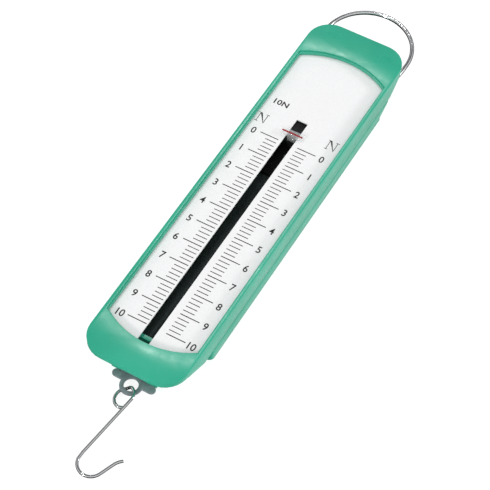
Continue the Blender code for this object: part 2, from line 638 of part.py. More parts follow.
def spring(finish):
    """The close-wound coil as one tube, and its two end loops."""
    low, high = SPRING_LOW, SPRING_HIGH
    outer = (SPRING_DIAMETER + SPRING_WIRE) / 2
    coil = rod("spring", (0, low, SPRING_Z), (0, high, SPRING_Z), outer, finish)
    cut(coil, rod("coil_bore", (0, low - 0.001, SPRING_Z), (0, high + 0.001, SPRING_Z), outer - SPRING_WIRE))
    radius = HOOK_LOOP_RADIUS
    tip_loop = arc((0, low - FIT_GAP - radius), radius, math.radians(80), math.radians(-200), 24)
    wire("spring_hook_bottom", [(x, y, SPRING_Z) for x, y in tip_loop], SPRING_WIRE, finish)
    hole_z = SPRING_Z + radius / 2
    behind = ANCHOR_RIB + ANCHOR_RIB_THICKNESS + FIT_GAP + SPRING_WIRE / 2
    rise = [(0, high + FIT_GAP + (ANCHOR_RIB - high) * 0.7 * t / 5, SPRING_Z + radius / 2 * smooth(t / 5))
            for t in range(6)]
    bend = [(0, behind + SPRING_WIRE * math.sin(a), hole_z - SPRING_WIRE * (1 - math.cos(a)))
            for a in (math.radians(15 * i) for i in range(7))]
    wire("spring_hook_top", rise + bend, SPRING_WIRE, finish)


def hanging_ring(finish):
    """The bail: two short feet on the pivot line, splayed legs and a half-round top, almost level."""
    bend = 0.75 * RING_WIRE
    foot_start = RING_NECK_HALF - RING_WIRE / 2 - RING_FOOT
    right = [(foot_start, 0), (RING_NECK_HALF - bend, 0)]
    right += arc((RING_NECK_HALF - bend, bend), bend, math.radians(-75), 0, 5)
    leg_start = 2 * bend
    for i in range(1, 10):
        share = i / 10
        x = RING_NECK_HALF + (RING_RADIUS - RING_NECK_HALF) * math.sin(share * math.pi / 2)
        right.append((x, leg_start + (RING_LEG - leg_start) * share))
    top = arc((0, RING_LEG), RING_RADIUS, 0, math.pi, 36)
    left = [(-x, reach) for x, reach in reversed(right)]
    points = [(x, RING_PIVOT_ABOVE_ZERO + reach * math.cos(RING_RISE), PIVOT_Z + reach * math.sin(RING_RISE))
              for x, reach in right + top + left]
    ring = wire("hanging_ring", points, RING_WIRE, finish)
    set_origin(ring, (0, y_at(RING_PIVOT_ABOVE_ZERO), PIVOT_Z))


def hook_height(y):
    """The hook leans from the lug's lobe down to the surface under its bend."""
    rest = HOOK_WIRE / 2
    over_lug = LUG_TOP + HOOK_WIRE / 2 + FIT_GAP
    return rest + (over_lug - rest) * (y - HOOK_BOTTOM) / (SHANK_TOP[1] - HOOK_BOTTOM)


def hook(finish):
    """The wire hook: open point, bend, shank, and an eye that dives through the lug's hole."""
    flare_start = -POINT_FLARE
    bend = arc(BEND_CENTRE, BEND_RADIUS, math.pi - SHANK_TILT + 2 * SHANK_TILT,
               2 * math.pi + flare_start, 24)
    along = (math.sin(POINT_FLARE), math.cos(POINT_FLARE))
    last = bend[-1]
    point = [(last[0] + along[0] * POINT_LENGTH * i / 4, last[1] + along[1] * POINT_LENGTH * i / 4)
             for i in range(1, 5)]
    end = point[-1]
    curl_centre = (end[0] + TIP_RADIUS * math.cos(POINT_FLARE), end[1] - TIP_RADIUS * math.sin(POINT_FLARE))
    curl = arc(curl_centre, TIP_RADIUS, math.pi - POINT_FLARE, math.pi - POINT_FLARE - TIP_TURN, 4)[1:]
    shank = [(SHANK_TOP[0] + (BEND_START[0] - SHANK_TOP[0]) * i / 12,
              SHANK_TOP[1] + (BEND_START[1] - SHANK_TOP[1]) * i / 12) for i in range(12)]
    flat = list(reversed(shank + bend + point + curl))
    points = [(x, y, hook_height(y)) for x, y in flat]
    over = hook_height(SHANK_TOP[1])
    under = LUG_BOTTOM - HOOK_WIRE / 2 - FIT_GAP / 2
    closing = over - 2.2 * HOOK_WIRE
    first = -math.degrees(SHANK_TILT)
    dive_start, dive_end = EYE_DIVE
    for i in range(1, 49):
        degrees = first + (300 - first) * i / 48
        turn = math.radians(degrees)
        x = EYE[0] + EYE_HALF_WIDTH * math.cos(turn)
        y = EYE[1] + EYE_HALF_HEIGHT * math.sin(turn)
        z = over + (under - over) * smooth((degrees - dive_start) / (dive_end - dive_start))
        z += (closing - under) * smooth((degrees - 190) / 110)
        points.append((x, y, z))
    made = wire("hook", points, HOOK_WIRE, finish)
    set_origin(made, (LUG_OFFSET, y_at(LUG_HOLE), (LUG_BOTTOM + LUG_TOP) / 2))


def main():
    for old in list(bpy.data.objects):
        bpy.data.objects.remove(old, do_unlink=True)
    green = material("green_plastic", (0.055, 0.43, 0.29), 0.38)
    black = material("black_plastic", (0.012, 0.012, 0.013), 0.45)
    zinc = material("zinc_steel", (0.42, 0.46, 0.47), 0.38, 1.0)
    bar_steel = material("dark_steel", (0.06, 0.07, 0.07), 0.45, 1.0)
    chrome = material("bright_wire", (0.80, 0.80, 0.80), 0.12, 1.0)
    spring_steel = material("spring_steel", (0.45, 0.45, 0.44), 0.30, 1.0)
    plate_white = material("scale_plate_white", (0.84, 0.85, 0.86), 0.55)
    clear = material("clear_acrylic", (0.95, 0.95, 0.95), 0.05, 0.0, 0.9)
    red = material("red_line", (0.45, 0.01, 0.02), 0.4)
    front_case(green)
    rear_cover(green)
    cover_screws(spring_steel)
    scale_plate(plate_white)
    draw_gear(bar_steel, black, zinc)
    pointer(clear, red)
    spring(spring_steel)
    hanging_ring(chrome)
    hook(chrome)


main()
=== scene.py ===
"""Looks for the box spring balance: case, printed scale, draw gear, coil spring, wire hook and ring."""

import json
import math

import bmesh
import bpy
from mathutils import Matrix, Vector

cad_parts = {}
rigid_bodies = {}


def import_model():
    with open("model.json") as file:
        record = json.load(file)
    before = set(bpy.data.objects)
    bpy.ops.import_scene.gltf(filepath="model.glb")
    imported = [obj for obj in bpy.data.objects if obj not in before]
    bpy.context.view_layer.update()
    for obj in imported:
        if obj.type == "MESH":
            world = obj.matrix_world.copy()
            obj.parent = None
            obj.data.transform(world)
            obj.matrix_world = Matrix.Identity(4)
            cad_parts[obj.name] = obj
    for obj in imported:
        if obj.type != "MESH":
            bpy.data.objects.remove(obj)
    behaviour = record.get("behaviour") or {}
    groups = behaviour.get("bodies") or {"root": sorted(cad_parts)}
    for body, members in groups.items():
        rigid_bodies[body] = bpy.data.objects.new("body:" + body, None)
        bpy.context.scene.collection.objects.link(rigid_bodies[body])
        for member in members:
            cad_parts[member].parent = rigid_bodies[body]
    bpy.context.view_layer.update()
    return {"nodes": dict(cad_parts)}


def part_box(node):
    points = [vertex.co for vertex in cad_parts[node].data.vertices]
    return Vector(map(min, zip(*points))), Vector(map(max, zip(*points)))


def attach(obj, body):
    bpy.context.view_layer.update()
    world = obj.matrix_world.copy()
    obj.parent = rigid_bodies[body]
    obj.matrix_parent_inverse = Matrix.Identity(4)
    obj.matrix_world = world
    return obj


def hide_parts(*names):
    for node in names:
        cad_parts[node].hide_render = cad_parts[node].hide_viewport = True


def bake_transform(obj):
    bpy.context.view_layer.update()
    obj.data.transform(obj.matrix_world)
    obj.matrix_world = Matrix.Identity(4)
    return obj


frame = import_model()
nodes = frame["nodes"]

MM = 0.001  # lengths without it are in metres


def box_of(name):
    low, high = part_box(name)
    return Vector(low), Vector(high)


CASE_HIGH = box_of("front_case")[1]
PLATE_TOP = box_of("scale_plate")[1].z
LUG_LOW, LUG_HIGH = box_of("lug_plate")
SPRING_LOW, SPRING_HIGH = box_of("spring")
ZERO_Y = CASE_HIGH.y - 57.2 * MM  # the scale's zero mark
NEWTON = 9.0 * MM


def y_at(from_zero):
    return ZERO_Y + from_zero


# ---------------------------------------------------------------- finishes


def shader_of(name, **constants):
    """A material with one Principled shader, and its constant sockets set by name."""
    made = bpy.data.materials.new(name)
    made.use_nodes = True
    tree = made.node_tree
    shader = tree.nodes["Principled BSDF"]
    for key, value in constants.items():
        shader.inputs[key.replace("_", " ")].default_value = value
    return made, tree, shader


def place_of(tree, stretch=(1, 1, 1)):
    """Object coordinates, stretched for grain that runs one way."""
    coords = tree.nodes.new("ShaderNodeTexCoord")
    mapping = tree.nodes.new("ShaderNodeMapping")
    mapping.inputs["Scale"].default_value = stretch
    tree.links.new(coords.outputs["Object"], mapping.inputs["Vector"])
    return mapping.outputs["Vector"]


def noise(tree, vector, scale, detail=3.0, rough=0.55):
    made = tree.nodes.new("ShaderNodeTexNoise")
    made.inputs["Scale"].default_value = scale
    made.inputs["Detail"].default_value = detail
    made.inputs["Roughness"].default_value = rough
    tree.links.new(vector, made.inputs["Vector"])
    return made.outputs["Fac"]


def ramp(tree, value, stops):
    made = tree.nodes.new("ShaderNodeValToRGB")
    points = made.color_ramp.elements
    while len(points) < len(stops):
        points.new(0.5)
    for point, (at, colour) in zip(points, stops):
        point.position = at
        point.color = (*colour, 1) if len(colour) == 3 else colour
    tree.links.new(value, made.inputs["Fac"])
    return made.outputs["Color"]


def spread(tree, value, low, high):
    """Moves a noise value from its usual 0.3 to 0.7 into the range low to high."""
    made = tree.nodes.new("ShaderNodeMapRange")
    made.inputs["From Min"].default_value = 0.3
    made.inputs["From Max"].default_value = 0.7
    made.inputs["To Min"].default_value = low
    made.inputs["To Max"].default_value = high
    tree.links.new(value, made.inputs["Value"])
    return made.outputs["Result"]


def bump(tree, shader, value, strength, distance):
    made = tree.nodes.new("ShaderNodeBump")
    made.inputs["Strength"].default_value = strength
    made.inputs["Distance"].default_value = distance
    tree.links.new(value, made.inputs["Height"])
    tree.links.new(made.outputs["Normal"], shader.inputs["Normal"])


def moulded_plastic(name, dark, light, rough, grain, sheen_level=0.5):
    made, tree, shader = shader_of(name, Specular_IOR_Level=sheen_level)
    where = place_of(tree)
    tint = noise(tree, where, 45, 4)
    tree.links.new(ramp(tree, tint, [(0.3, dark), (0.7, light)]), shader.inputs["Base Color"])
    sheen = noise(tree, where, 160, 5, 0.65)
    tree.links.new(spread(tree, sheen, rough - 0.05, rough + 0.07), shader.inputs["Roughness"])
    bump(tree, shader, noise(tree, where, 2600, 2), grain, 0.00003)
    return made


def metal(name, dark, light, rough, stretch, scale=900, depth=0.15, metallic=1.0):
    made, tree, shader = shader_of(name, Metallic=metallic)
    where = place_of(tree, stretch)
    grain = noise(tree, where, scale, 4, 0.6)
    tree.links.new(ramp(tree, grain, [(0.32, dark), (0.68, light)]), shader.inputs["Base Color"])
    cloud = noise(tree, place_of(tree), 220, 4, 0.6)
    tree.links.new(spread(tree, cloud, rough - 0.06, rough + 0.1), shader.inputs["Roughness"])
    bump(tree, shader, grain, depth, 0.00002)
    return made


def plate_finish():
    """Matt white lacquer over rolled sheet: fine specks and a faint grain."""
    made, tree, shader = shader_of("scale_white", Metallic=0.0)
    where = place_of(tree)
    speck = noise(tree, where, 2100, 3, 0.7)
    tree.links.new(ramp(tree, speck, [(0.30, (0.84, 0.84, 0.85)), (0.62, (0.90, 0.90, 0.91))]),
                   shader.inputs["Base Color"])
    tree.links.new(spread(tree, noise(tree, where, 300, 4), 0.42, 0.55), shader.inputs["Roughness"])
    bump(tree, shader, speck, 0.12, 0.00003)
    return made


def ink_finish(name, colour):
    made, tree, shader = shader_of(name, Roughness=0.6)
    where = place_of(tree)
    dark = [c * 0.75 for c in colour]
    tree.links.new(ramp(tree, noise(tree, where, 1800, 3), [(0.3, dark), (0.7, colour)]),
                   shader.inputs["Base Color"])
    return made


def clear_finish():
    """Thin clear acrylic that lets the print show through."""
    made, tree, shader = shader_of("clear_acrylic", Alpha=0.24, IOR=1.49)
    shader.inputs["Base Color"].default_value = (0.93, 0.95, 0.95, 1)
    where = place_of(tree)
    tree.links.new(spread(tree, noise(tree, where, 700, 3), 0.03, 0.10), shader.inputs["Roughness"])
    return made


GREEN = moulded_plastic("green_plastic", (0.024, 0.370, 0.235), (0.036, 0.425, 0.280), 0.30, 0.10)
BLACK = moulded_plastic("black_plastic", (0.006, 0.006, 0.007), (0.014, 0.014, 0.015), 0.42, 0.12, 0.12)
ZINC = metal("zinc_plate", (0.20, 0.235, 0.255), (0.30, 0.345, 0.365), 0.42, (1, 0.25, 1), 900, 0.15, 0.35)
BAR_STEEL = metal("blackened_steel", (0.045, 0.060, 0.060), (0.080, 0.100, 0.100), 0.42, (1, 0.12, 1),
                  700, 0.15, 0.6)
WIRE = metal("bright_wire", (0.50, 0.51, 0.52), (0.60, 0.61, 0.62), 0.14, (1, 1, 1), 1500, 0.04)
SPRING_STEEL = metal("spring_steel", (0.36, 0.36, 0.35), (0.60, 0.60, 0.58), 0.26, (1, 1, 1), 1500, 0.08)
PLATE_WHITE = plate_finish()
INK = ink_finish("dark_ink", (0.016, 0.016, 0.018))
RED = ink_finish("red_line", (0.36, 0.002, 0.010))
CLEAR = clear_finish()


# ---------------------------------------------------------------- making pieces


def linked(name, mesh):
    made = bpy.data.objects.new(name, mesh)
    bpy.context.scene.collection.objects.link(made)
    return made


def evaluated_piece(source, name, finish):
    """The plain mesh that an object's modifiers give. The source object goes."""
    bpy.context.view_layer.update()
    graph = bpy.context.evaluated_depsgraph_get()
    mesh = bpy.data.meshes.new_from_object(source.evaluated_get(graph))
    mesh.name = name
    data = source.data
    bpy.data.objects.remove(source, do_unlink=True)
    if data.users == 0 and isinstance(data, bpy.types.Mesh):
        bpy.data.meshes.remove(data)
    made = linked(name, mesh)
    mesh.materials.clear()
    mesh.materials.append(finish)
    return made


def finish_piece(piece, body, slot, *replaced):
    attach(piece, body)
    if replaced:
        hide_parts(*replaced)


def smooth_by_angle(piece, degrees=35):
    """Smooth shading with hard edges left where faces meet steeply."""
    mesh = piece.data
    shape = bmesh.new()
    shape.from_mesh(mesh)
    for face in shape.faces:
        face.smooth = True
    limit = math.radians(degrees)
    for edge in shape.edges:
        edge.smooth = len(edge.link_faces) == 2 and edge.calc_face_angle(0) < limit
    shape.to_mesh(mesh)
    shape.free()


JOIN_WITHIN = 2e-6
FLAT_WITHIN = math.radians(0.6)
ROUND_OVER = math.radians(30)
CASE_EDGE, COVER_EDGE = 0.00045, 0.00035
STRIP_EDGE, LUG_EDGE, CARRIER_EDGE, RIVET_EDGE = 0.00012, 0.00016, 0.00015, 0.00018
POINTER_EDGE = 0.00012


def softened(node, name, width, finish, body, slot, segments=2):
    """A copy of a node with its corners rounded off."""
    source = linked(name + "_raw", nodes[node].data.copy())
    shape = bmesh.new()
    shape.from_mesh(source.data)
    bmesh.ops.remove_doubles(shape, verts=shape.verts, dist=JOIN_WITHIN)
    bmesh.ops.dissolve_limit(shape, angle_limit=FLAT_WITHIN, verts=shape.verts, edges=shape.edges)
    shape.to_mesh(source.data)
    shape.free()
    rounding = source.modifiers.new("rounding", "BEVEL")
    rounding.width = width
    rounding.segments = segments
    rounding.limit_method = "ANGLE"
    rounding.angle_limit = ROUND_OVER
    rounding.use_clamp_overlap = True
    piece = evaluated_piece(source, name, finish)
    smooth_by_angle(piece, 40)
    finish_piece(piece, body, slot, node)


def tree_named(name, inputs):
    """An empty geometry tree with one geometry input, one output and named sizes."""
    tree = bpy.data.node_groups.new(name, "GeometryNodeTree")
    tree.interface.new_socket("Geometry", in_out="INPUT", socket_type="NodeSocketGeometry")
    tree.interface.new_socket("Geometry", in_out="OUTPUT", socket_type="NodeSocketGeometry")
    for label, kind, value in inputs:
        socket = tree.interface.new_socket(label, in_out="INPUT", socket_type="NodeSocket" + kind)
        if value is not None:
            socket.default_value = value
    start = tree.nodes.new("NodeGroupInput")
    end = tree.nodes.new("NodeGroupOutput")
    return tree, start.outputs, end.inputs[0]


def node_in(tree, kind, values=(), links=()):
    """Adds a node, sets its plain values and links the sockets that drive it."""
    made = tree.nodes.new(kind)
    for key, value in values:
        made.inputs[key].default_value = value
    for source, key in links:
        tree.links.new(source, made.inputs[key])
    return made


def closed_with(tree, geometry, material, end):
    """Every tree ends the same way: real geometry, one finish."""
    real = node_in(tree, "GeometryNodeRealizeInstances", links=[(geometry, "Geometry")])
    painted = node_in(tree, "GeometryNodeSetMaterial", links=[(real.outputs["Geometry"], "Geometry")])
    painted.inputs["Material"].default_value = material
    tree.links.new(painted.outputs["Geometry"], end)


def grown(name, tree, settings, finish, mesh=None):
    """A plain mesh grown by a geometry tree from a start mesh."""
    source = linked(name + "_seed", mesh or bpy.data.meshes.new(name + "_seed"))
    step = source.modifiers.new("grow", "NODES")
    step.node_group = tree
    identifiers = {item.name: item.identifier for item in tree.interface.items_tree
                   if item.item_type == "SOCKET" and item.in_out == "INPUT"}
    for key, value in settings.items():
        step[identifiers[key]] = value
    return evaluated_piece(source, name, finish)


def wire_tree(material):
    """A round wire along the edges of a path, with capped ends."""
    tree, given, end = tree_named("round_wire", [("Radius", "Float", 0.0005), ("Sides", "Int", 20)])
    path = node_in(tree, "GeometryNodeMeshToCurve", links=[(given["Geometry"], "Mesh")])
    ring = node_in(tree, "GeometryNodeCurvePrimitiveCircle",
                   links=[(given["Radius"], "Radius"), (given["Sides"], "Resolution")])
    swept = node_in(tree, "GeometryNodeCurveToMesh", [("Fill Caps", True)],
                    [(path.outputs["Curve"], "Curve"), (ring.outputs["Curve"], "Profile Curve")])
    round_off = node_in(tree, "GeometryNodeSetShadeSmooth", links=[(swept.outputs["Mesh"], "Geometry")])
    closed_with(tree, round_off.outputs["Geometry"], material, end)
    return tree


def path_mesh(name, points):
    mesh = bpy.data.meshes.new(name)
    mesh.from_pydata([Vector(p) for p in points], [(i, i + 1) for i in range(len(points) - 1)], [])
    return mesh


def arc(centre, radius, start, end, steps):
    turns = [start + (end - start) * i / steps for i in range(steps + 1)]
    return [(centre[0] + radius * math.cos(a), centre[1] + radius * math.sin(a)) for a in turns]


def smooth(t):
    t = min(max(t, 0.0), 1.0)
    return t * t * (3 - 2 * t)


# ---------------------------------------------------------------- case and scale


def make_case():
    softened("front_case", "case_front", CASE_EDGE, GREEN, "case", "green_plastic", 3)
    softened("rear_cover", "case_back", COVER_EDGE, GREEN, "case", "green_plastic")


PRINT_MIDDLE_Y = y_at(-45 * MM)
PRINT_SKEW, PRINT_SHIFT = math.radians(0.478), -0.245 * MM
PRINT_TURN = (Matrix.Translation((0, PRINT_MIDDLE_Y, 0)) @ Matrix.Rotation(PRINT_SKEW, 4, "Z")
              @ Matrix.Translation((PRINT_SHIFT, -PRINT_MIDDLE_Y, 0)))  # the print sits a little askew
INK_THICK = 0.000024
INK_Z = PLATE_TOP + 0.000006
INK_LIFT = 0.0000006  # keeps crossing strokes from sharing a face
TICK_INNER = 3.83 * MM
TICK_MAJOR, TICK_MAJOR_WIDE = 7.39 * MM, 0.00036
TICK_MINOR, TICK_MINOR_WIDE = 4.45 * MM, 0.00031


def printed(piece):
    """Lays a printed mark where the whole print lies."""
    piece.data.transform(PRINT_TURN)
    finish_piece(piece, "case", "black_plastic")


def tick_tree():
    """Printed marks in a row: one bar for each step, leaving out every fifth if asked."""
    tree, given, end = tree_named("printed_marks", [
        ("Count", "Int", 51), ("Start", "Vector", (0, 0, 0)), ("Step", "Vector", (0, 0, 0)),
        ("Size", "Vector", (0.001, 0.0001, 0.00001)), ("Skip Every", "Int", 1000), ("Skip", "Bool", False)])
    row = node_in(tree, "GeometryNodeMeshLine", links=[
        (given["Count"], "Count"), (given["Start"], "Start Location"), (given["Step"], "Offset")])
    bar = node_in(tree, "GeometryNodeMeshCube", links=[(given["Size"], "Size")])
    index = node_in(tree, "GeometryNodeInputIndex")
    left = node_in(tree, "FunctionNodeIntegerMath", links=[(index.outputs[0], 0), (given["Skip Every"], 1)])
    left.operation = "MODULO"
    shown = node_in(tree, "FunctionNodeCompare")
    shown.data_type = "INT"
    shown.operation = "NOT_EQUAL"
    tree.links.new(left.outputs[0], shown.inputs[2])
    shown.inputs[3].default_value = 0
    always = node_in(tree, "FunctionNodeBooleanMath", links=[(given["Skip"], 0)])
    always.operation = "NOT"
    either = node_in(tree, "FunctionNodeBooleanMath", links=[(shown.outputs[0], 0), (always.outputs[0], 1)])
    either.operation = "OR"
    bars = node_in(tree, "GeometryNodeInstanceOnPoints", links=[
        (row.outputs["Mesh"], "Points"), (bar.outputs["Mesh"], "Instance"), (either.outputs[0], "Selection")])
    closed_with(tree, bars.outputs["Instances"], INK, end)
    return tree


def make_ticks():
    tree = tick_tree()
    for side, label in ((-1, "left"), (1, "right")):
        for kind, count, step, length, wide, skip in (
            ("newton", 11, NEWTON, TICK_MAJOR, TICK_MAJOR_WIDE, False),
            ("fifth", 51, NEWTON / 5, TICK_MINOR, TICK_MINOR_WIDE, True),
        ):
            x = side * (TICK_INNER + length / 2)
            printed(grown(f"marks_{kind}_{label}", tree, {
                "Count": count, "Start": (x, ZERO_Y, INK_Z), "Step": (0, -step, 0),
                "Size": (length, wide, INK_THICK), "Skip Every": 5, "Skip": skip}, INK))


def text_piece(name, words, size, place, squeeze, weight):
    """Flat printed characters, centred on a place, made a mesh before they are moved."""
    curve = bpy.data.curves.new(name, "FONT")
    curve.body = words
    curve.size = size
    curve.align_x = "CENTER"
    curve.align_y = "CENTER"
    curve.extrude = INK_THICK / 2
    curve.offset = weight
    curve.resolution_u = 4
    source = linked(name + "_raw", curve)
    piece = evaluated_piece(source, name, INK)
    mesh = piece.data
    xs = [v.co.x for v in mesh.vertices]
    ys = [v.co.y for v in mesh.vertices]
    middle = Vector(((min(xs) + max(xs)) / 2, (min(ys) + max(ys)) / 2, 0))
    mesh.transform(Matrix.Translation(-middle))
    mesh.transform(Matrix.Diagonal((squeeze, 1, 1, 1)))
    mesh.transform(Matrix.Translation(Vector(place)))
    bpy.data.curves.remove(curve)
    return piece


NUMBER_SIZE = 4.0 * MM
NUMBER_X = 13.8 * MM
NUMBER_DROP = 0.35 * MM
NUMBER_SQUEEZE, NUMBER_WEIGHT = 0.92, 0.00006
TITLE_SIZE, TITLE_SQUEEZE, TITLE_WEIGHT = 3.3 * MM, 1.12, 0.00007
UNIT_SIZE = 4.3 * MM


def make_numbers():
    for side, label in ((-1, "left"), (1, "right")):
        for n in range(11):
            place = (side * NUMBER_X, ZERO_Y - n * NEWTON - NUMBER_DROP, INK_Z)
            printed(text_piece(f"number_{n}_{label}", str(n), NUMBER_SIZE, place,
                               NUMBER_SQUEEZE, NUMBER_WEIGHT))


def stroke(shape, points, low, high):
    """One flat stroke of a letter."""
    face = shape.faces.new([shape.verts.new((x, y, low)) for x, y in points])
    pushed = bmesh.ops.extrude_face_region(shape, geom=[face])["geom"]
    moved = [v for v in pushed if isinstance(v, bmesh.types.BMVert)]
    bmesh.ops.translate(shape, vec=(0, 0, high - low), verts=moved)


def unit_letter(name, x, y, tall):
    """The unit's capital letter with serifs."""
    shape = bmesh.new()
    half, wide, thin, thick = tall / 2, tall * 0.47, tall * 0.055, tall * 0.15
    low, high = INK_Z - INK_THICK / 2, INK_Z + INK_THICK / 2
    left, right = x - wide * 0.72, x + wide * 0.72
    top, bottom = y + half, y - half

    def bar(x_low, x_high, y_low, y_high):
        return [(x_low, y_low), (x_high, y_low), (x_high, y_high), (x_low, y_high)]

    bars = [
        bar(left - thin / 2, left + thin / 2, bottom, top),
        bar(right - thin / 2, right + thin / 2, bottom, top),
        [(left - thick * 0.4, top), (right - thick * 0.1, bottom), (right + thin / 2, bottom),
         (left + thick * 0.9, top)],
        bar(left - wide * 0.34, left + wide * 0.30, bottom, bottom + thin),
        bar(right - wide * 0.30, right + wide * 0.34, top - thin, top),
        bar(left - wide * 0.34, left, top - thin, top),
    ]
    for i, points in enumerate(bars):
        lift = i * INK_LIFT
        stroke(shape, points, low + lift, high + lift)
    bmesh.ops.recalc_face_normals(shape, faces=shape.faces)
    mesh = bpy.data.meshes.new(name)
    shape.to_mesh(mesh)
    shape.free()
    piece = linked(name, mesh)
    mesh.materials.append(INK)
    printed(piece)


def make_print():
    make_ticks()
    make_numbers()
    unit_letter("unit_letter_left", -13.9 * MM, y_at(6.0 * MM), UNIT_SIZE)
    unit_letter("unit_letter_right", 14.1 * MM, y_at(6.9 * MM), UNIT_SIZE)
    printed(text_piece("range_title", "10N", TITLE_SIZE, (-11.1 * MM, y_at(15.4 * MM), INK_Z),
                       TITLE_SQUEEZE, TITLE_WEIGHT))


# ---------------------------------------------------------------- wires


RING_RADIUS, RING_NECK_HALF, RING_LEG = 17.25 * MM, 14.8 * MM, 20.5 * MM
RING_WIRE, RING_FOOT = 1.6 * MM, 2.8 * MM
RING_PIVOT_Y, PIVOT_Z = 38.5 * MM, 5.05 * MM
RING_BEND, RING_RISE = 0.75 * RING_WIRE, math.radians(1.1)
LEG_STEPS = 40
WIRE_INSIDE = 0.00001  # keeps the drawn wire within the solid one

HOOK_WIRE = 1.1 * MM
HOOK_TILT, POINT_FLARE, TIP_TURN = math.radians(9.5), math.radians(24), math.radians(32)
LUG_HOLE = (1.5 * MM, -108.6 * MM)
EYE = (LUG_HOLE[0] + 0.3 * MM, LUG_HOLE[1] - 4.8 * MM)
EYE_HALF = (3.1 * MM, 3.7 * MM)
SHANK_LENGTH, BEND_RADIUS, POINT_LENGTH, TIP_RADIUS = 24.3 * MM, 4.8 * MM, 5.1 * MM, 6.2 * MM
ABOVE_LUG, BELOW_LUG = 0.3 * MM, 0.15 * MM
EYE_FROM, EYE_SWEEP, EYE_STEPS = -9.5, 309.5, 96  # degrees round the eye
DIVE_FROM, DIVE_SWEEP = 68, 54
CLIMB_FROM, CLIMB_SWEEP = 190, 110
CLOSING_DROP = 2.2 * HOOK_WIRE


def make_ring():
    """Foot, bend, spread leg and half loop on the right, and their mirror image."""
    right = [(RING_NECK_HALF - RING_WIRE / 2 - RING_FOOT, 0), (RING_NECK_HALF - RING_BEND, 0)]
    right += arc((RING_NECK_HALF - RING_BEND, RING_BEND), RING_BEND, math.radians(-75), 0, 10)
    start = 2 * RING_BEND
    for i in range(1, LEG_STEPS):
        share = i / LEG_STEPS
        x = RING_NECK_HALF + (RING_RADIUS - RING_NECK_HALF) * math.sin(share * math.pi / 2)
        right.append((x, start + (RING_LEG - start) * share))
    top = arc((0, RING_LEG), RING_RADIUS, 0, math.pi, 96)
    left = [(-x, reach) for x, reach in reversed(right)]
    points = [(x, y_at(RING_PIVOT_Y + reach * math.cos(RING_RISE)), PIVOT_Z + reach * math.sin(RING_RISE))
              for x, reach in right + top + left]
    piece = grown("ring_wire", wire_tree(WIRE), {"Radius": RING_WIRE / 2 - WIRE_INSIDE, "Sides": 24}, WIRE,
                  path_mesh("ring_path", points))
    smooth_by_angle(piece, 50)
    finish_piece(piece, "ring", "bright_wire", "hanging_ring")


def make_hook():
    """A tilted shank, the bend, the flared point with its tip turned out, and the eye through the lug."""
    top = (EYE[0] + EYE_HALF[0] * math.cos(HOOK_TILT), EYE[1] - EYE_HALF[1] * math.sin(HOOK_TILT))
    foot = (top[0] - SHANK_LENGTH * math.sin(HOOK_TILT), top[1] - SHANK_LENGTH * math.cos(HOOK_TILT))
    centre = (foot[0] + BEND_RADIUS * math.cos(HOOK_TILT), foot[1] - BEND_RADIUS * math.sin(HOOK_TILT))
    bottom = centre[1] - BEND_RADIUS
    over = LUG_HIGH.z + HOOK_WIRE / 2 + ABOVE_LUG
    under = LUG_LOW.z - HOOK_WIRE / 2 - BELOW_LUG
    rest = HOOK_WIRE / 2

    def height(y):
        return rest + (over - rest) * (y - bottom) / (top[1] - bottom)

    bend = arc(centre, BEND_RADIUS, math.pi + HOOK_TILT, 2 * math.pi - POINT_FLARE, 48)
    last, along = bend[-1], (math.sin(POINT_FLARE), math.cos(POINT_FLARE))
    point = [(last[0] + along[0] * POINT_LENGTH * i / 12, last[1] + along[1] * POINT_LENGTH * i / 12)
             for i in range(1, 13)]
    end = point[-1]
    curl_centre = (end[0] + TIP_RADIUS * math.cos(POINT_FLARE), end[1] - TIP_RADIUS * math.sin(POINT_FLARE))
    curl = arc(curl_centre, TIP_RADIUS, math.pi - POINT_FLARE, math.pi - POINT_FLARE - TIP_TURN, 8)[1:]
    shank = [(top[0] + (foot[0] - top[0]) * i / 24, top[1] + (foot[1] - top[1]) * i / 24) for i in range(24)]
    points = [(x, y, height(y)) for x, y in reversed(shank + bend + point + curl)]
    start = height(top[1])
    closing = start - CLOSING_DROP
    for i in range(1, EYE_STEPS + 1):
        degrees = EYE_FROM + EYE_SWEEP * i / EYE_STEPS
        turn = math.radians(degrees)
        z = start + (under - start) * smooth((degrees - DIVE_FROM) / DIVE_SWEEP)
        z += (closing - under) * smooth((degrees - CLIMB_FROM) / CLIMB_SWEEP)
        points.append((EYE[0] + EYE_HALF[0] * math.cos(turn), EYE[1] + EYE_HALF[1] * math.sin(turn), z))
    piece = grown("hook_wire", wire_tree(WIRE), {"Radius": HOOK_WIRE / 2 - WIRE_INSIDE, "Sides": 20}, WIRE,
                  path_mesh("hook_path", [(x, y_at(y), z) for x, y, z in points]))
    smooth_by_angle(piece, 50)
    finish_piece(piece, "hook", "bright_wire", "hook")


COIL_TURNS = 43.0
COIL_WIRE = 0.00025  # half the wire's thickness


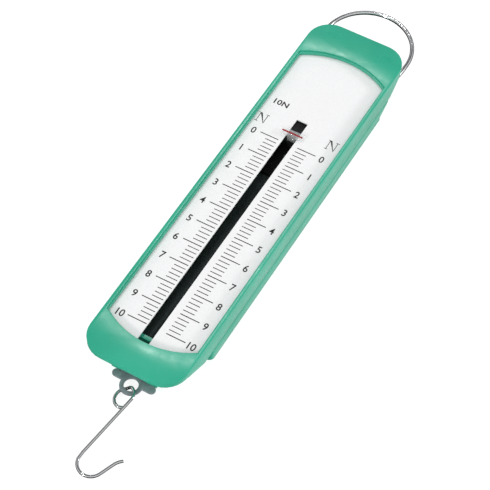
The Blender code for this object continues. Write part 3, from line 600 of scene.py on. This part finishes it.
def make_spring():
    """The close-wound coil. It lies between the case and the draw gear."""
    tree, given, end = tree_named("coil", [
        ("Turns", "Float", COIL_TURNS), ("Coil Radius", "Float", 0.003), ("Length", "Float", 0.025),
        ("Wire Radius", "Float", COIL_WIRE)])
    spiral = node_in(tree, "GeometryNodeCurveSpiral", [("Resolution", 18), ("Reverse", False)], [
        (given["Turns"], "Rotations"), (given["Coil Radius"], "Start Radius"),
        (given["Coil Radius"], "End Radius"), (given["Length"], "Height")])
    ring = node_in(tree, "GeometryNodeCurvePrimitiveCircle", [("Resolution", 8)],
                   [(given["Wire Radius"], "Radius")])
    swept = node_in(tree, "GeometryNodeCurveToMesh", [("Fill Caps", True)],
                    [(spiral.outputs["Curve"], "Curve"), (ring.outputs["Curve"], "Profile Curve")])
    soft = node_in(tree, "GeometryNodeSetShadeSmooth", links=[(swept.outputs["Mesh"], "Geometry")])
    closed_with(tree, soft.outputs["Geometry"], SPRING_STEEL, end)
    length = SPRING_HIGH.y - SPRING_LOW.y
    outer = (SPRING_HIGH.x - SPRING_LOW.x) / 2
    piece = grown("coil_spring", tree, {
        "Turns": COIL_TURNS, "Coil Radius": outer - COIL_WIRE, "Length": length - 2 * COIL_WIRE,
        "Wire Radius": COIL_WIRE}, SPRING_STEEL)
    middle_z = (SPRING_LOW.z + SPRING_HIGH.z) / 2
    piece.data.transform(Matrix.Rotation(math.radians(-90), 4, "X"))
    piece.data.transform(Matrix.Translation((0, SPRING_LOW.y + COIL_WIRE, middle_z)))
    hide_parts("spring")
    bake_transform(piece)


# ---------------------------------------------------------------- draw gear and small parts


def make_draw_gear():
    softened("draw_bar", "bar_strip", STRIP_EDGE, BAR_STEEL, "draw", "dark_steel")
    softened("lug_plate", "lug_plate_pressed", LUG_EDGE, ZINC, "draw", "zinc_steel")
    softened("pointer_carrier", "carrier_moulding", CARRIER_EDGE, BLACK, "draw", "black_plastic")
    for name in ("lug_rivet_1", "lug_rivet_2", "carrier_rivet_1", "carrier_rivet_2"):
        softened(name, name + "_headed", RIVET_EDGE, BAR_STEEL, "draw", "dark_steel")


def make_pointer():
    softened("pointer", "pointer_clear", POINTER_EDGE, CLEAR, "pointer", "clear_acrylic")


def screw_head(radius, tall):
    """A screw's domed head alone, without its shank, face down, with a cross recess."""
    shape = bmesh.new()
    rings = [(0.0, 0.0), (radius * 0.55, tall * 0.06), (radius * 0.85, tall * 0.25), (radius, tall * 0.6),
             (radius, tall)]
    line = [shape.verts.new((r, 0, z)) for r, z in rings]
    edges = [shape.edges.new(pair) for pair in zip(line, line[1:])]
    bmesh.ops.spin(shape, geom=line + edges, cent=(0, 0, 0), axis=(0, 0, 1), angle=2 * math.pi, steps=32)
    bmesh.ops.remove_doubles(shape, verts=shape.verts, dist=1e-6)
    rim = [e for e in shape.edges if len(e.link_faces) == 1]
    bmesh.ops.holes_fill(shape, edges=rim, sides=64)
    bmesh.ops.recalc_face_normals(shape, faces=shape.faces)
    mesh = bpy.data.meshes.new("screw_head")
    shape.to_mesh(mesh)
    shape.free()
    head = linked("screw_head", mesh)
    for turn in (0, 90):
        slot = bmesh.new()
        bmesh.ops.create_cube(slot, size=1)
        slot.transform(Matrix.Diagonal((radius * 1.15, radius * 0.24, tall * 1.1, 1)))
        slot.transform(Matrix.Rotation(math.radians(turn + 30), 4, "Z"))
        cutter_mesh = bpy.data.meshes.new("cross_cutter")
        slot.to_mesh(cutter_mesh)
        slot.free()
        cutter = linked("cross_cutter", cutter_mesh)
        recess = head.modifiers.new("cross", "BOOLEAN")
        recess.object = cutter
        recess.solver = "EXACT"
    bpy.context.view_layer.update()
    made = bpy.data.meshes.new_from_object(head.evaluated_get(bpy.context.evaluated_depsgraph_get()))
    for spare in [o for o in bpy.data.objects if o.name.startswith(("screw_head", "cross_cutter"))]:
        bpy.data.objects.remove(spare, do_unlink=True)
    return linked("screw_head_shape", made)


SCREWS = [f"cover_screw_{i}" for i in range(1, 5)]
HEAD_TALL, HEAD_INSIDE = 1.1 * MM, 0.00001


def make_screws():
    """One head at each screw's place in the rear cover."""
    boxes = [box_of(name) for name in SCREWS]
    radius = (boxes[0][1].x - boxes[0][0].x) / 2 - HEAD_INSIDE
    head = screw_head(radius, HEAD_TALL)
    tree, given, end = tree_named("screws_in_place", [("Head", "Object", None)])
    shape = node_in(tree, "GeometryNodeObjectInfo", links=[(given["Head"], "Object")])
    heads = node_in(tree, "GeometryNodeInstanceOnPoints", links=[
        (given["Geometry"], "Points"), (shape.outputs["Geometry"], "Instance")])
    closed_with(tree, heads.outputs["Instances"], SPRING_STEEL, end)
    seats = bpy.data.meshes.new("screw_seats")
    seats.from_pydata([((lo.x + hi.x) / 2, (lo.y + hi.y) / 2, lo.z + HEAD_INSIDE) for lo, hi in boxes],
                      [], [])
    piece = grown("screw_heads", tree, {"Head": head}, SPRING_STEEL, seats)
    bpy.data.objects.remove(head, do_unlink=True)
    smooth_by_angle(piece, 35)
    finish_piece(piece, "case", "spring_steel", *SCREWS)


def repaint(node, finish):
    mesh = nodes[node].data
    mesh.materials.clear()
    mesh.materials.append(finish)


def make_rest():
    repaint("scale_plate", PLATE_WHITE)
    repaint("index_line", RED)
    for name in ("spring_hook_top", "spring_hook_bottom"):
        repaint(name, SPRING_STEEL)
    make_screws()


# ---------------------------------------------------------------- floor, light, camera


FLOOR_REACH, FLOOR_GLOW = 4.0, 0.80


def make_floor():
    made, tree, shader = shader_of("floor_white", Roughness=0.9)
    where = place_of(tree)
    tree.links.new(ramp(tree, noise(tree, where, 4), [(0.3, (0.34, 0.34, 0.34)), (0.7, (0.36, 0.36, 0.36))]),
                   shader.inputs["Base Color"])
    shader.inputs["Specular IOR Level"].default_value = 0.0
    mesh = bpy.data.meshes.new("floor")
    mesh.from_pydata([(x * FLOOR_REACH, y * FLOOR_REACH, 0) for x, y in ((-1, -1), (1, -1), (1, 1), (-1, 1))],
                     [], [(0, 1, 2, 3)])
    shader.inputs["Emission Color"].default_value = (1, 1, 1, 1)
    shader.inputs["Emission Strength"].default_value = FLOOR_GLOW
    floor = linked("floor", mesh)
    mesh.materials.append(made)
    floor.visible_glossy = False


def area_light(name, place, size, watts):
    """A round lamp aimed at the middle of the case."""
    data = bpy.data.lights.new(name, "AREA")
    data.shape = "DISK"
    data.size = size
    data.energy = watts
    made = bpy.data.objects.new(name, data)
    made.location = place
    made.rotation_mode = "QUATERNION"
    made.rotation_quaternion = (-Vector(place)).to_track_quat("-Z", "Y")
    bpy.context.scene.collection.objects.link(made)


def toward(tree, direction, target, wide, narrow):
    """1 close to a direction, 0 away from it, with a soft edge given in degrees."""
    dot = tree.nodes.new("ShaderNodeVectorMath")
    dot.operation = "DOT_PRODUCT"
    dot.inputs[1].default_value = Vector(target).normalized()
    tree.links.new(direction, dot.inputs[0])
    made = tree.nodes.new("ShaderNodeMapRange")
    made.interpolation_type = "SMOOTHSTEP"
    made.inputs["From Min"].default_value = math.cos(math.radians(wide))
    made.inputs["From Max"].default_value = math.cos(math.radians(narrow))
    tree.links.new(dot.outputs["Value"], made.inputs["Value"])
    return made.outputs["Result"]


def blended(tree, share, low, high):
    """low where the share is 0, high where it is 1. Either may be a number or a socket."""
    made = tree.nodes.new("ShaderNodeMix")
    tree.links.new(share, made.inputs["Factor"])
    for key, value in (("A", low), ("B", high)):
        if isinstance(value, (int, float)):
            made.inputs[key].default_value = value
        else:
            tree.links.new(value, made.inputs[key])
    return made.outputs["Result"]


OPENING_AT, CARD_AT = (-0.29, 0.50, 0.815), (0.36, 0.48, -0.80)
TENT_PALE, OPENING_DARK, BELOW_DARK, CARD_PALE = 0.98, 0.14, 0.03, 0.80
LAMPS = [
    ("overhead_strip", (-0.26, 0.45, 0.74), 0.07, 1.0),
    ("front_card", (-0.26, -0.86, 0.48), 0.14, 2.6),
    ("right_card", (0.84, 0.46, 0.34), 0.14, 2.6),
]


def make_light():
    """A light tent: pale all round, a dark opening overhead, nearly black below with one pale card."""
    world = bpy.data.worlds.new("studio")
    bpy.context.scene.world = world
    world.use_nodes = True
    tree = world.node_tree
    coords = tree.nodes.new("ShaderNodeTexCoord")
    direction = coords.outputs["Generated"]
    above = toward(tree, direction, (0, 0, 1), 88, 68)
    opening = toward(tree, direction, OPENING_AT, 40, 22)
    card = toward(tree, direction, CARD_AT, 40, 16)
    level = blended(tree, above, blended(tree, card, BELOW_DARK, CARD_PALE),
                    blended(tree, opening, TENT_PALE, OPENING_DARK))
    sky = tree.nodes["Background"]
    tree.links.new(level, sky.inputs["Strength"])
    sky.inputs["Color"].default_value = (1, 1, 1, 1)
    for lamp in LAMPS:
        area_light(*lamp)


LENS, SENSOR = 131.07, 36.0
VIEW_PLACE = (0.185792, y_at(-0.351620), 0.508693)
VIEW_RIGHT = (0.864287, 0.502998, 0.000961)
VIEW_UP = (-0.410631, 0.704470, 0.578882)
VIEW_BACK = (0.290499, -0.500715, 0.815411)


def make_camera():
    data = bpy.data.cameras.new("camera")
    data.lens = LENS
    data.sensor_width = SENSOR
    data.clip_start = 0.01
    data.clip_end = 20
    camera = bpy.data.objects.new("camera", data)
    bpy.context.scene.collection.objects.link(camera)
    turn = Matrix((VIEW_RIGHT, VIEW_UP, VIEW_BACK)).transposed()
    camera.matrix_world = Matrix.Translation(VIEW_PLACE) @ turn.to_4x4()
    bpy.context.scene.camera = camera
    bpy.context.scene.view_settings.view_transform = "Standard"


make_camera()
make_case()
make_print()
make_ring()
make_hook()
make_spring()
make_draw_gear()
make_pointer()
make_rest()
make_floor()
make_light()
